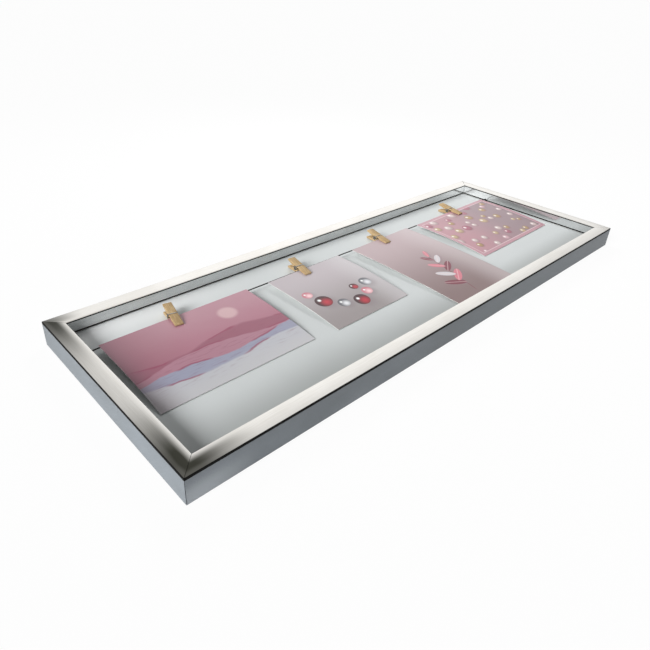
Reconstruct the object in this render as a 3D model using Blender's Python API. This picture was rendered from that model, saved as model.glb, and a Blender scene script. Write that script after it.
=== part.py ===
"""String clip collage frame: a rebated silver frame with a cord, four wooden pegs and four prints.

The frame lies on its back: X runs along the long rails, Y points to the top rail and Z to the front.
"""
import math

import bmesh
import bpy
from mathutils import Vector

MM = 0.001
GAP = 0.3 * MM

# Moulding
FRAME_LENGTH = 620 * MM
FRAME_WIDTH = 224 * MM
FRAME_DEPTH = 23.5 * MM
FACE_WIDTH = 14.5 * MM
SIGHT_WALL = 11 * MM
QUIRK_HEIGHT = 2 * MM
QUIRK_DEPTH = 1.4 * MM
REBATE_WIDTH = 4.9 * MM
ARRIS = 0.6 * MM
MITRE_GAP = 0.2 * MM

# Backing board
BOARD_THICKNESS = 3 * MM
BOARD_PLAY = 0.4 * MM

# Corner nails
NAIL_INSET = 5 * MM
NAIL_WING = 6 * MM
NAIL_THICKNESS = 0.6 * MM
NAIL_HEIGHT = 7 * MM

# Points that hold the board
POINT_WIDTH = 7 * MM
POINT_REACH = 8 * MM
POINT_BITE = 5.5 * MM
POINT_THICKNESS = 0.6 * MM
POINT_CHAMFER = 1.2 * MM
POINT_SPACING = 200 * MM

# Sawtooth hangers
HANGER_SPACING = 300 * MM
HANGER_DROP = 28 * MM
HANGER_HALF = 22 * MM
HANGER_TAB = 7 * MM
HANGER_SLOPE = 2.5 * MM
HANGER_WIDTH = 11 * MM
HANGER_THICKNESS = 0.8 * MM
HANGER_RISE = 2 * MM
HANGER_TEETH = 5
TOOTH_DEPTH = 2.2 * MM
TACK_SHANK = 0.8 * MM
TACK_BITE = 2 * MM
TACK_HEAD = 2.2 * MM
TACK_HEAD_HEIGHT = 0.8 * MM

# Cord
CORD_RADIUS = 0.7 * MM
CORD_Y = 57.5 * MM
CORD_HOLE = 1.2 * MM
CORD_HOLE_INSET = 1.3 * MM
CORD_SIDES = 2
CORD_STEPS = 4
KNOT_SWELL = 2.6
# Steps inwards from the cord's hole and heights under the straight run, where the cord bends
CORD_BEND = [(1.5 * MM, 1 * MM), (5 * MM, 0), (16 * MM, 0), (32 * MM, 0)]
# Shares of the knot's length, downwards, and how far the cord swells there
KNOT_LEVELS = [(0.0, 1.0), (0.08, 1.9), (0.3, KNOT_SWELL), (0.6, KNOT_SWELL), (0.9, 1.7), (1.0, 0.9)]

# Pegs: distances along a lever from the coil's axis, and half heights from the plane of the jaws
PEG_WIDTH = 8 * MM
PEG_JAW = 20 * MM
PEG_HANDLE = 14 * MM
PEG_TIP_HALF = 1.9 * MM
PEG_COIL_HALF = 4.2 * MM
PEG_HANDLE_HALF = 5.5 * MM
PEG_HANDLE_THICKNESS = 2.2 * MM
PEG_INNER_START = 1 * MM
JAW_HALF_GAP = 0.45 * MM
COIL_NOTCH = 2.6 * MM
LINE_NOTCH = 2.3 * MM
LINE_DISTANCE = 5.6 * MM
ARM_DISTANCE = 3.6 * MM
ARM_GROOVE = 0.8 * MM
PEG_NOSE = 0.6 * MM
PEG_HEEL = 0.8 * MM
PEG_SOFTENING = 0.25 * MM
SOFTENED_ANGLE = 50
NOTCH_STEPS = 8
GROOVE_STEPS = 6

# Springs
WIRE_RADIUS = 0.45 * MM
COIL_RADIUS = 1.75 * MM
COIL_HALF = 4.8 * MM
COIL_TURNS = 5
CURL_POINTS = 9
ARM_CORNER = 0.9 * MM
ARM_CORNER_SHARE = 0.3
ARM_END = 3.2 * MM
WIRE_SIDES = 1

# Prints
PRINT_THICKNESS = 0.3 * MM
PRINT_LIFT = 6 * MM
PRINT_FLAT = 18 * MM
PRINT_STATIONS = 9
SHORT_SIDE = 100 * MM
LONG_SIDE = 150 * MM

# Each row is one peg with its print: peg place, peg turn, print place, print turn, print width,
# print height, print's top edge above the cord, droop of its lower edge
PEG_ROWS = [
    (-215 * MM, -12, -210.5 * MM, -0.2, LONG_SIDE, SHORT_SIDE, 1.8 * MM, 3.6 * MM),
    (-64 * MM, -8, -60.5 * MM, 0.4, SHORT_SIDE, SHORT_SIDE, -1.2 * MM, 3.6 * MM),
    (62 * MM, -7, 62 * MM, 1.4, SHORT_SIDE, LONG_SIDE, 0.2 * MM, 4.6 * MM),
    (208 * MM, -2, 205.2 * MM, 1.0, LONG_SIDE, SHORT_SIDE, 0.4 * MM, 3.6 * MM),
]

# Turned pieces
TURNED_STEPS = 16
TURNED_SHARP = 40
MERGE = 0.001 * MM

# Finishes: colour, roughness and metallic
SILVER_FOIL = ((0.62, 0.61, 0.58), 0.3, 0.9)
WHITE_COAT = ((0.72, 0.75, 0.75), 0.6, 0.0)
BRIGHT_STEEL = ((0.55, 0.55, 0.56), 0.35, 1.0)
CHARCOAL_YARN = ((0.03, 0.025, 0.022), 0.9, 0.0)
PALE_WOOD = ((0.52, 0.36, 0.17), 0.6, 0.0)
PHOTO_PAPER = ((0.62, 0.38, 0.42), 0.35, 0.0)

# Derived places
SIGHT_X = FRAME_LENGTH / 2 - FACE_WIDTH
SIGHT_Y = FRAME_WIDTH / 2 - FACE_WIDTH
LEDGE_Z = FRAME_DEPTH - SIGHT_WALL - QUIRK_HEIGHT
BOARD_Z = LEDGE_Z - GAP
BOARD_BACK_Z = BOARD_Z - BOARD_THICKNESS
JAW_Z = BOARD_Z + PRINT_LIFT
CORD_Z = JAW_Z - PRINT_THICKNESS / 2 - GAP - CORD_RADIUS
COIL_Y = CORD_Y + LINE_DISTANCE
CORD_END_X = SIGHT_X - CORD_HOLE_INSET


def clear_scene():
    for old in list(bpy.data.objects):
        bpy.data.objects.remove(old, do_unlink=True)


def finish(name, colour, roughness, metallic):
    """A plain Principled material."""
    material = bpy.data.materials.new(name)
    material.use_nodes = True
    shader = material.node_tree.nodes["Principled BSDF"]
    shader.inputs["Base Color"].default_value = (*colour, 1.0)
    shader.inputs["Roughness"].default_value = roughness
    shader.inputs["Metallic"].default_value = metallic
    return material


def add_object(name, data, material, location=(0, 0, 0), turn=0.0, parent=None):
    """Link a mesh or curve as one named piece, turned about Z by an angle in degrees."""
    if material is not None:
        data.materials.clear()
        data.materials.append(material)
    piece = bpy.data.objects.new(name, data)
    bpy.context.collection.objects.link(piece)
    piece.location = location
    piece.rotation_euler = (0, 0, math.radians(turn))
    piece.parent = parent
    return piece


def mesh_from(bm, name):
    """Close a bmesh: faces pointing out, then into a mesh."""
    bmesh.ops.recalc_face_normals(bm, faces=bm.faces[:])
    mesh = bpy.data.meshes.new(name)
    bm.to_mesh(mesh)
    bm.free()
    return mesh


def prism(name, outline, direction):
    """Extrude a closed outline of 3-D points along a direction."""
    bm = bmesh.new()
    face = bm.faces.new([bm.verts.new(point) for point in outline])
    grown = bmesh.ops.extrude_face_region(bm, geom=[face])
    moved = [item for item in grown["geom"] if isinstance(item, bmesh.types.BMVert)]
    bmesh.ops.translate(bm, verts=moved, vec=direction)
    return mesh_from(bm, name)


def ribbon(name, sections):
    """Bridge a row of four-cornered sections into one closed strip."""
    bm = bmesh.new()
    rings = [[bm.verts.new(point) for point in section] for section in sections]
    for ring, following in zip(rings, rings[1:]):
        for corner in range(4):
            after = (corner + 1) % 4
            bm.faces.new((ring[corner], ring[after], following[after], following[corner]))
    bm.faces.new(rings[0])
    bm.faces.new(rings[-1])
    return mesh_from(bm, name)


def turned(name, profile):
    """Spin a profile of (radius, height) points about Z."""
    bm = bmesh.new()
    verts = [bm.verts.new((radius, 0, height)) for radius, height in profile]
    edges = [bm.edges.new(pair) for pair in zip(verts, verts[1:])]
    bmesh.ops.spin(bm, geom=verts + edges, axis=(0, 0, 1), cent=(0, 0, 0),
                   angle=math.tau, steps=TURNED_STEPS, use_merge=True)
    bmesh.ops.remove_doubles(bm, verts=bm.verts[:], dist=MERGE)
    mesh = mesh_from(bm, name)
    mesh.shade_smooth()
    mesh.set_sharp_from_angle(angle=math.radians(TURNED_SHARP))
    return mesh


def arc(centre, radius, start, end, steps):
    """Points of an arc from one angle to another, in degrees."""
    points = []
    for step in range(steps + 1):
        angle = math.radians(start + (end - start) * step / steps)
        points.append((centre[0] + radius * math.cos(angle), centre[1] + radius * math.sin(angle)))
    return points


def cutter(name, mesh, location=(0, 0, 0), turn=0.0):
    """A hidden solid that cuts others."""
    tool = add_object(name, mesh, None, location, turn)
    tool.hide_render = True
    tool.display_type = "WIRE"
    return tool


def cut(piece, tool):
    """Take the tool's volume out of the piece."""
    modifier = piece.modifiers.new(tool.name, "BOOLEAN")
    modifier.operation = "DIFFERENCE"
    modifier.solver = "EXACT"
    modifier.object = tool


def moulding_profile():
    """Section of the moulding: distance outwards from the sight edge, and height."""
    quirk_top = LEDGE_Z + QUIRK_HEIGHT
    return [
        (0, quirk_top),
        (0, FRAME_DEPTH - ARRIS),
        (ARRIS, FRAME_DEPTH),
        (FACE_WIDTH - ARRIS, FRAME_DEPTH),
        (FACE_WIDTH, FRAME_DEPTH - ARRIS),
        (FACE_WIDTH, 0),
        (REBATE_WIDTH, 0),
        (REBATE_WIDTH, LEDGE_Z),
        (QUIRK_DEPTH, LEDGE_Z),
        (QUIRK_DEPTH, quirk_top),
    ]


def mitred_rail(name, sight_half, sight_offset):
    """Extrude the section along X, its ends sloped by each point's distance from the sight edge."""
    bm = bmesh.new()
    start = []
    for outward, height in moulding_profile():
        end_x = -(sight_half + outward - MITRE_GAP)
        start.append(bm.verts.new((end_x, sight_offset + outward, height)))
    face = bm.faces.new(start)
    grown = bmesh.ops.extrude_face_region(bm, geom=[face])
    for item in grown["geom"]:
        if isinstance(item, bmesh.types.BMVert):
            item.co.x = -item.co.x
    return mesh_from(bm, name)


def make_rails(material):
    """The four rails, top and bottom along X, left and right along Y."""
    long_half = (SIGHT_X, SIGHT_Y)
    short_half = (SIGHT_Y, SIGHT_X)
    plan = {
        "rail_top": (long_half, 0),
        "rail_left": (short_half, 90),
        "rail_bottom": (long_half, 180),
        "rail_right": (short_half, 270),
    }
    rails = {}
    for name, (half, turn) in plan.items():
        mesh = mitred_rail(name, *half)
        rails[name] = add_object(name, mesh, material, turn=turn)
    return rails


def nail_outline(extra):
    """Plan of a corner nail: two wings from an apex, grown by an extra on every side."""
    side = NAIL_THICKNESS / 2 + extra
    end = NAIL_WING + extra
    return [(side, side), (-end, side), (-end, -side), (-side, -side), (-side, -end), (side, -end)]


def nail_mesh(name, sign_x, sign_y, extra, bottom, top):
    outline = [Vector((sign_x * x, sign_y * y, bottom)) for x, y in nail_outline(extra)]
    return prism(name, outline, Vector((0, 0, top - bottom)))


def make_corner_nails(rails, material):
    """A nail across each mitre, flush in a slot of the two rails it joins."""
    corners = [(-1, -1), (1, -1), (1, 1), (-1, 1)]
    for number, (sign_x, sign_y) in enumerate(corners, 1):
        apex = (sign_x * (FRAME_LENGTH / 2 - NAIL_INSET), sign_y * (FRAME_WIDTH / 2 - NAIL_INSET), 0)
        name = f"corner_nail_{number}"
        mesh = nail_mesh(name, sign_x, sign_y, 0, GAP, NAIL_HEIGHT)
        add_object(name, mesh, material, apex)
        slot = nail_mesh(name + "_slot", sign_x, sign_y, GAP, -GAP, NAIL_HEIGHT + GAP)
        tool = cutter(name + "_slot", slot, apex)
        cut(rails["rail_top" if sign_y > 0 else "rail_bottom"], tool)
        cut(rails["rail_right" if sign_x > 0 else "rail_left"], tool)


def point_mesh(name, extra):
    """A flat point: blunt over the board, sharp in the rail, its middle at the rebate wall."""
    side = POINT_WIDTH / 2 + extra
    tail = -POINT_REACH - extra
    shoulder = POINT_BITE - POINT_WIDTH / 2
    outline = [
        (-side, tail + POINT_CHAMFER),
        (-side + POINT_CHAMFER, tail),
        (side - POINT_CHAMFER, tail),
        (side, tail + POINT_CHAMFER),
        (side, shoulder + extra),
        (0, POINT_BITE + 2 * extra),
        (-side, shoulder + extra),
    ]
    bottom = -POINT_THICKNESS - extra
    points = [Vector((x, y, bottom)) for x, y in outline]
    return prism(name, points, Vector((0, 0, POINT_THICKNESS + 2 * extra)))


def make_board_points(rails, material):
    """Points along the rebate: three in each long rail and one in each short rail."""
    wall_x = SIGHT_X + REBATE_WIDTH
    wall_y = SIGHT_Y + REBATE_WIDTH
    places = []
    for step in (-1, 0, 1):
        places.append(("rail_top", (step * POINT_SPACING, wall_y), 0))
        places.append(("rail_bottom", (step * POINT_SPACING, -wall_y), 180))
    places.append(("rail_left", (-wall_x, 0), 90))
    places.append(("rail_right", (wall_x, 0), 270))
    for number, (rail, (x, y), turn) in enumerate(places, 1):
        name = f"board_point_{number}"
        location = (x, y, BOARD_BACK_Z - GAP)
        add_object(name, point_mesh(name, 0), material, location, turn)
        cut(rails[rail], cutter(name + "_slot", point_mesh(name + "_slot", GAP), location, turn))


def drill(name, radius, x, y, bottom, top):
    """A round cutter standing on Z."""
    profile = [(0, top), (radius, top), (radius, bottom), (0, bottom)]
    return cutter(name, turned(name, profile), (x, y, 0))


def make_board(material):
    """The backing board with a through hole for each end of the cord."""
    half_x = SIGHT_X + REBATE_WIDTH - BOARD_PLAY
    half_y = SIGHT_Y + REBATE_WIDTH - BOARD_PLAY
    corners = ((-half_x, -half_y), (half_x, -half_y), (half_x, half_y), (-half_x, half_y))
    outline = [Vector((x, y, BOARD_BACK_Z)) for x, y in corners]
    mesh = prism("backing_board", outline, Vector((0, 0, BOARD_THICKNESS)))
    board = add_object("backing_board", mesh, material)
    for side, sign in (("left", -1), ("right", 1)):
        hole_x = sign * CORD_END_X
        cut(board, drill(f"cord_hole_{side}", CORD_HOLE, hole_x, CORD_Y, BOARD_BACK_Z - GAP, BOARD_Z + GAP))
    return board


def hanger_sections():
    """Sections of a hanger along X: end tabs on the board, a raised middle with teeth below."""
    middle_half = HANGER_HALF - HANGER_TAB - HANGER_SLOPE
    tooth = 2 * middle_half / HANGER_TEETH
    fold = HANGER_HALF - HANGER_TAB
    stations = [(-HANGER_HALF, 0, 0), (-fold, 0, 0), (-middle_half, HANGER_RISE, 0)]
    for index in range(HANGER_TEETH):
        left = -middle_half + index * tooth
        stations.append((left + tooth / 2, HANGER_RISE, TOOTH_DEPTH))
        stations.append((left + tooth, HANGER_RISE, 0))
    stations += [(fold, 0, 0), (HANGER_HALF, 0, 0)]
    sections = []
    for x, rise, tooth_cut in stations:
        low_y = -HANGER_WIDTH / 2 + tooth_cut
        high_y = HANGER_WIDTH / 2
        front = -rise
        back = front - HANGER_THICKNESS
        sections.append([Vector((x, low_y, front)), Vector((x, high_y, front)),
                         Vector((x, high_y, back)), Vector((x, low_y, back))])
    return sections


def make_hangers(board, material):
    """Two sawtooth hangers on the back of the board, each on two tacks."""
    hanger_y = SIGHT_Y - HANGER_DROP
    hanger_z = BOARD_BACK_Z - GAP
    head_top = -HANGER_THICKNESS - GAP
    tack_profile = [
        (0, TACK_BITE),
        (TACK_SHANK, TACK_BITE - TACK_SHANK),
        (TACK_SHANK, head_top),
        (TACK_HEAD, head_top),
        (TACK_HEAD, head_top - TACK_HEAD_HEIGHT / 2),
        (TACK_HEAD / 2, head_top - TACK_HEAD_HEIGHT),
        (0, head_top - TACK_HEAD_HEIGHT),
    ]
    number = 0
    for side, sign in (("left", -1), ("right", 1)):
        hanger_x = sign * HANGER_SPACING / 2
        name = f"sawtooth_hanger_{side}"
        place = (hanger_x, hanger_y, hanger_z)
        hanger = add_object(name, ribbon(name, hanger_sections()), material, place)
        for end in (-1, 1):
            number += 1
            tack_x = hanger_x + end * (HANGER_HALF - HANGER_TAB / 2)
            tack = f"hanger_tack_{number}"
            add_object(tack, turned(tack, tack_profile), material, (tack_x, hanger_y, hanger_z))
            hole = drill(tack + "_hole", TACK_SHANK + GAP, tack_x, hanger_y,
                         hanger_z - HANGER_THICKNESS - GAP, hanger_z + TACK_BITE + GAP)
            cut(hanger, hole)
            cut(board, hole)


def smooth_route(points, steps):
    """A smooth curve through the given points, with a number of steps in each stretch."""
    vectors = [Vector(point) for point in points]
    padded = [2 * vectors[0] - vectors[1]] + vectors + [2 * vectors[-1] - vectors[-2]]
    route = []
    for index in range(1, len(padded) - 2):
        before, start, end, after = padded[index - 1:index + 3]
        for step in range(steps):
            t = step / steps
            route.append(0.5 * (2 * start + (end - before) * t
                                + (2 * before - 5 * start + 4 * end - after) * t ** 2
                                + (3 * start - before - 3 * end + after) * t ** 3))
    route.append(vectors[-1])
    return route


def tube(name, points, radius, sides, swell=None):
    """A round tube along points, each with its own swelling where a list gives one."""
    curve = bpy.data.curves.new(name, "CURVE")
    curve.dimensions = "3D"
    curve.bevel_depth = radius
    curve.bevel_resolution = sides
    curve.use_fill_caps = True
    spline = curve.splines.new("POLY")
    spline.points.add(len(points) - 1)
    for index, point in enumerate(points):
        spline.points[index].co = (*point, 1.0)
        spline.points[index].radius = swell[index] if swell else 1.0
    return curve


def make_cord(material):
    """The cord from a knot behind the board, up through its hole, along and down at the other end."""
    knot_top = BOARD_BACK_Z - GAP
    knot_length = 2 * KNOT_SWELL * CORD_RADIUS
    end_route = [
        (CORD_END_X, CORD_Y, BOARD_BACK_Z + CORD_RADIUS),
        (CORD_END_X, CORD_Y, BOARD_Z + CORD_RADIUS),
    ]
    for inwards, under in CORD_BEND:
        end_route.append((CORD_END_X - inwards, CORD_Y, CORD_Z - under))
    right = smooth_route(end_route, CORD_STEPS)
    knot = [Vector((CORD_END_X, CORD_Y, knot_top - level * knot_length)) for level, _ in KNOT_LEVELS]
    half = list(reversed(knot)) + right
    swell_half = [swell for _, swell in reversed(KNOT_LEVELS)] + [1.0] * len(right)
    mirrored = [Vector((-point.x, point.y, point.z)) for point in half]
    points = mirrored + list(reversed(half))
    swell = swell_half + list(reversed(swell_half))
    add_object("hanging_cord", tube("hanging_cord", points, CORD_RADIUS, CORD_SIDES, swell), material)
    length = sum((after - before).length for before, after in zip(points, points[1:]))
    print(f"cord length {length / MM:.0f} mm along {len(points)} points")


def outer_half(distance):
    """Half height of a closed peg at a distance from the coil's axis, positive towards the jaws."""
    if distance >= 0:
        return PEG_COIL_HALF + (PEG_TIP_HALF - PEG_COIL_HALF) * distance / PEG_JAW
    return PEG_COIL_HALF + (PEG_COIL_HALF - PEG_HANDLE_HALF) * distance / PEG_HANDLE


def notch(centre, radius, first_height, last_height):
    """A half-round notch over the jaw plane, between two heights on its circle."""
    start = 180 - math.degrees(math.asin(first_height / radius))
    end = math.degrees(math.asin(last_height / radius))
    return arc((centre, 0), radius, start, end, NOTCH_STEPS)


def lever_outline():
    """Side view of a front lever: distance towards the jaws, and height over the jaw plane."""
    tilt = math.degrees(math.atan2(PEG_COIL_HALF - PEG_TIP_HALF, PEG_JAW))
    groove_centre = (ARM_DISTANCE, outer_half(ARM_DISTANCE))
    return [
        (PEG_JAW, JAW_HALF_GAP),
        (PEG_JAW, PEG_TIP_HALF - PEG_NOSE),
        (PEG_JAW - PEG_NOSE, PEG_TIP_HALF),
        *arc(groove_centre, ARM_GROOVE, -tilt, -180 - tilt, GROOVE_STEPS),
        (0, PEG_COIL_HALF),
        (PEG_HEEL - PEG_HANDLE, PEG_HANDLE_HALF),
        (-PEG_HANDLE, PEG_HANDLE_HALF - PEG_HEEL),
        (-PEG_HANDLE, PEG_HANDLE_HALF - PEG_HANDLE_THICKNESS),
        *notch(0, COIL_NOTCH, PEG_INNER_START, JAW_HALF_GAP),
        *notch(LINE_DISTANCE, LINE_NOTCH, JAW_HALF_GAP, JAW_HALF_GAP),
    ]


def lever_mesh():
    """A lever cut from a strip of wood: the outline extruded across the peg's width."""
    outline = [Vector((-PEG_WIDTH / 2, -distance, height)) for distance, height in lever_outline()]
    return prism("peg_lever", outline, Vector((PEG_WIDTH, 0, 0)))


def soften(piece):
    """Break the sharp long edges, as tumbling does to small wooden parts."""
    bevel = piece.modifiers.new("softened_edges", "BEVEL")
    bevel.width = PEG_SOFTENING
    bevel.segments = 1
    bevel.limit_method = "ANGLE"
    bevel.angle_limit = math.radians(SOFTENED_ANGLE)


def spring_route():
    """Wire of a peg spring: an arm over the front lever, the coil, an arm under the back lever."""
    arm_height = outer_half(ARM_DISTANCE)
    reach = math.hypot(ARM_DISTANCE, arm_height)
    contact = math.atan2(arm_height, ARM_DISTANCE) - math.acos(COIL_RADIUS / reach)
    sweep = COIL_TURNS * math.tau + 2 * contact
    count = round(sweep / math.tau * CURL_POINTS)
    corner = Vector((-COIL_HALF, -ARM_DISTANCE, arm_height))
    leave = Vector((-COIL_HALF, -COIL_RADIUS * math.cos(contact), COIL_RADIUS * math.sin(contact)))
    down = (leave - corner).normalized()
    front_arm = [
        Vector((ARM_END, -ARM_DISTANCE, arm_height)),
        Vector((0, -ARM_DISTANCE, arm_height)),
        corner + Vector((ARM_CORNER, 0, 0)),
        corner + ARM_CORNER_SHARE * ARM_CORNER * (Vector((1, 0, 0)) + down),
        corner + ARM_CORNER * down,
    ]
    coil = []
    for index in range(count + 1):
        angle = contact - sweep * index / count
        across = -COIL_HALF + 2 * COIL_HALF * index / count
        coil.append(Vector((across, -COIL_RADIUS * math.cos(angle), COIL_RADIUS * math.sin(angle))))
    back_arm = [Vector((-point.x, point.y, -point.z)) for point in reversed(front_arm)]
    return front_arm + coil + back_arm


def least_gap(points, radius, skip):
    """Smallest free space between stretches of a tube that are not neighbours along it."""
    best = math.inf
    for index, point in enumerate(points):
        for other in points[index + skip:]:
            best = min(best, (other - point).length)
    return best - 2 * radius


def make_pegs(wood, steel):
    """Four pegs on the cord, each with its axis empty on the coil."""
    lever = lever_mesh()
    route = spring_route()
    gap = least_gap(route, WIRE_RADIUS, CURL_POINTS - 2)
    print(f"spring's least gap to itself {gap / MM:.2f} mm")
    wire = tube("peg_spring", route, WIRE_RADIUS, WIRE_SIDES)
    for number, row in enumerate(PEG_ROWS, 1):
        place, turn = row[:2]
        axis = add_object(f"peg_{number}_axis", None, None, (place, COIL_Y, JAW_Z), turn)
        front = add_object(f"peg_{number}_front_lever", lever, wood, parent=axis)
        back = add_object(f"peg_{number}_back_lever", lever, wood, parent=axis)
        back.rotation_euler = (0, math.pi, 0)
        soften(front)
        soften(back)
        add_object(f"peg_{number}_spring", wire, steel, parent=axis)


def print_sections(width, height, droop):
    """Sections of a print down its height: flat in the jaws, then sinking towards the board."""
    sections = []
    bent = height - PRINT_FLAT
    downs = [PRINT_FLAT + bent * step / (PRINT_STATIONS - 1) for step in range(PRINT_STATIONS)]
    for down in [0.0] + downs:
        share = max(0.0, (down - PRINT_FLAT) / bent)
        middle = -droop * share ** 2
        front = middle + PRINT_THICKNESS / 2
        back = middle - PRINT_THICKNESS / 2
        sections.append([Vector((-width / 2, -down, front)), Vector((width / 2, -down, front)),
                         Vector((width / 2, -down, back)), Vector((-width / 2, -down, back))])
    return sections


def make_prints(material):
    """Four prints hanging from the pegs by their upper edges."""
    for number, row in enumerate(PEG_ROWS, 1):
        place, turn, width, height, over_cord, droop = row[2:]
        name = f"photo_print_{number}"
        mesh = ribbon(name, print_sections(width, height, droop))
        add_object(name, mesh, material, (place, CORD_Y + over_cord, JAW_Z), turn)


def main():
    clear_scene()
    silver = finish("silver_foil", *SILVER_FOIL)
    white = finish("white_board", *WHITE_COAT)
    steel = finish("bright_steel", *BRIGHT_STEEL)
    charcoal = finish("charcoal_cord", *CHARCOAL_YARN)
    wood = finish("pale_wood", *PALE_WOOD)
    paper = finish("photo_paper", *PHOTO_PAPER)
    rails = make_rails(silver)
    make_corner_nails(rails, steel)
    make_board_points(rails, steel)
    board = make_board(white)
    make_hangers(board, steel)
    make_cord(charcoal)
    make_pegs(wood, steel)
    make_prints(paper)


main()
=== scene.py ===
# %% [markdown]
# # A string clip collage frame
# The real object is a long silver picture frame without glass. A dark cord runs across it,
# and four small wooden pegs hold a photo print each. This notebook dresses the packed CAD
# model of that frame. The CAD nodes could simply be coloured, but their edges are sharp and
# their cord is a plain tube, so most pieces are modelled again in the places that they hold.

# %% Load the packed frame
import math

import bmesh
import bpy
from mathutils import Matrix, Vector


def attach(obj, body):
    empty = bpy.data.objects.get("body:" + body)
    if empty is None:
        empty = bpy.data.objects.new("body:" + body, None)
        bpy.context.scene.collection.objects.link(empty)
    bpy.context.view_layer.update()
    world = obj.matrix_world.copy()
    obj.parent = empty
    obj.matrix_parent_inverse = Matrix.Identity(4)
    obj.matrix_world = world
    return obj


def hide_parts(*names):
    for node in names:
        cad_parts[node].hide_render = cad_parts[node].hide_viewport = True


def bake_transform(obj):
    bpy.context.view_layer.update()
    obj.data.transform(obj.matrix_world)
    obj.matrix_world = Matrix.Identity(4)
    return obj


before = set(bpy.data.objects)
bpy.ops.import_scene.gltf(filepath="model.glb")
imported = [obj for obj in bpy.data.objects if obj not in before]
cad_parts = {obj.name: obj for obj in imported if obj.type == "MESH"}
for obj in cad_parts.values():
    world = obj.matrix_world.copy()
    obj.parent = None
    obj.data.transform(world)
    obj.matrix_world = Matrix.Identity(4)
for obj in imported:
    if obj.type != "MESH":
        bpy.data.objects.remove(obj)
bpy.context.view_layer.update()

MM = 0.001

# %% [markdown]
# ## The camera
# The photo looks down on one corner of the lying frame. A camera could be aimed by hand with
# a Track To constraint, but the photo's perspective was worked out from the frame's corners,
# so the three directions of the camera are written down and become its rotation matrix. The
# shift moves the picture on the sensor, as the photo is not centred on its vanishing lines.

# %% Place the camera
IMAGE_SIDE = 650
FOCAL_PIXELS = 566.66
OPTICAL_CENTRE = (317.77, 289.29)
CAMERA_PLACE = Vector((-0.42401, -0.33339, 0.29317))
CAMERA_RIGHT = Vector((0.72880, -0.68326, 0.04491))
CAMERA_UP = Vector((0.30866, 0.38636, 0.86917))
CAMERA_BACK = Vector((-0.61122, -0.61959, 0.49247))

lens = bpy.data.cameras.new("studio_camera")
camera = bpy.data.objects.new("studio_camera", lens)
bpy.context.scene.collection.objects.link(camera)
turn = Matrix((CAMERA_RIGHT, CAMERA_UP, CAMERA_BACK)).transposed().to_4x4()
camera.matrix_world = Matrix.Translation(CAMERA_PLACE) @ turn
lens.sensor_width = 36
lens.lens = FOCAL_PIXELS / IMAGE_SIDE * lens.sensor_width
lens.shift_x = (IMAGE_SIDE / 2 - OPTICAL_CENTRE[0]) / IMAGE_SIDE
lens.shift_y = (OPTICAL_CENTRE[1] - IMAGE_SIDE / 2) / IMAGE_SIDE
lens.clip_start = 0.01
bpy.context.scene.camera = camera
bpy.context.scene.view_settings.view_transform = "Standard"
print("lens in mm:", round(lens.lens, 2))

# %% [markdown]
# ## A class for shader sockets
# A finish is a small calculation on coordinates. It could be wired node by node, but that is
# long and hard to read. Here one class wraps a socket, so that `1 - mask` or `x * 3` adds the
# Math node by itself, and its `node` method adds any other node with its settings and inputs.

# %% The socket class
class Flow:
    """One output socket; arithmetic with it adds Math nodes to its tree."""

    def __init__(self, tree, socket):
        self.tree = tree
        self.socket = socket

    def node(self, kind, settings, inputs, output=0):
        made = self.tree.nodes.new(kind)
        for name, value in settings.items():
            if name == "stops":
                for place, colour in value[1:-1]:
                    made.color_ramp.elements.new(place)
                for element, (place, colour) in zip(made.color_ramp.elements, value):
                    element.position = place
                    element.color = colour
            else:
                setattr(made, name, value)
        for key, value in inputs.items():
            if isinstance(value, Flow):
                self.tree.links.new(value.socket, made.inputs[key])
            else:
                made.inputs[key].default_value = value
        return Flow(self.tree, made.outputs[output])

    def other(self, output):
        return Flow(self.tree, self.socket.node.outputs[output])

    def math(self, operation, first, second=0.0):
        return self.node("ShaderNodeMath", {"operation": operation}, {0: first, 1: second})

    def __add__(self, value):
        return self.math("ADD", self, value)

    def __sub__(self, value):
        return self.math("SUBTRACT", self, value)

    def __rsub__(self, value):
        return self.math("SUBTRACT", value, self)

    def __mul__(self, value):
        return self.math("MULTIPLY", self, value)

    def __truediv__(self, value):
        return self.math("DIVIDE", self, value)

    def __rtruediv__(self, value):
        return self.math("DIVIDE", value, self)

    def __abs__(self):
        return self.math("ABSOLUTE", self)

    __radd__ = __add__
    __rmul__ = __mul__

print("socket class:", Flow.__name__, "-", Flow.__doc__)

# %% [markdown]
# ## Small helpers for finishes
# Most finishes need the same few steps: a soft threshold, a mix of two colours, a stretched
# noise. They could be node groups, but short functions are easier to follow. Colours are
# written as they look on a screen, from 0 to 255, and turned into linear light here.

# %% Threshold, mix, noise and bump
WHITE = (1, 1, 1, 1)

def shade(red, green, blue):
    def linear(value):
        value = value / 255
        return value / 12.92 if value <= 0.04045 else ((value + 0.055) / 1.055) ** 2.4
    return (linear(red), linear(green), linear(blue), 1.0)

def begin(name, fixed):
    material = bpy.data.materials.new(name)
    material.use_nodes = True
    tree = material.node_tree
    shader = tree.nodes["Principled BSDF"]
    for socket, value in fixed.items():
        shader.inputs[socket].default_value = value
    coordinates = tree.nodes.new("ShaderNodeTexCoord")
    return material, shader, Flow(tree, coordinates.outputs["Object"])

def feed(shader, socket, flow):
    flow.tree.links.new(flow.socket, shader.inputs[socket])

def dressed(shader, colour, roughness):
    feed(shader, "Base Color", colour)
    feed(shader, "Roughness", roughness)

def rise(flow, low, high):
    settings = {"interpolation_type": "SMOOTHSTEP"}
    inputs = {"Value": flow, "From Min": low, "From Max": high}
    return flow.node("ShaderNodeMapRange", settings, inputs)

def mixed(factor, first, second):
    settings = {"data_type": "RGBA"}
    return factor.node("ShaderNodeMix", settings, {0: factor, 6: first, 7: second}, 2)

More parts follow.
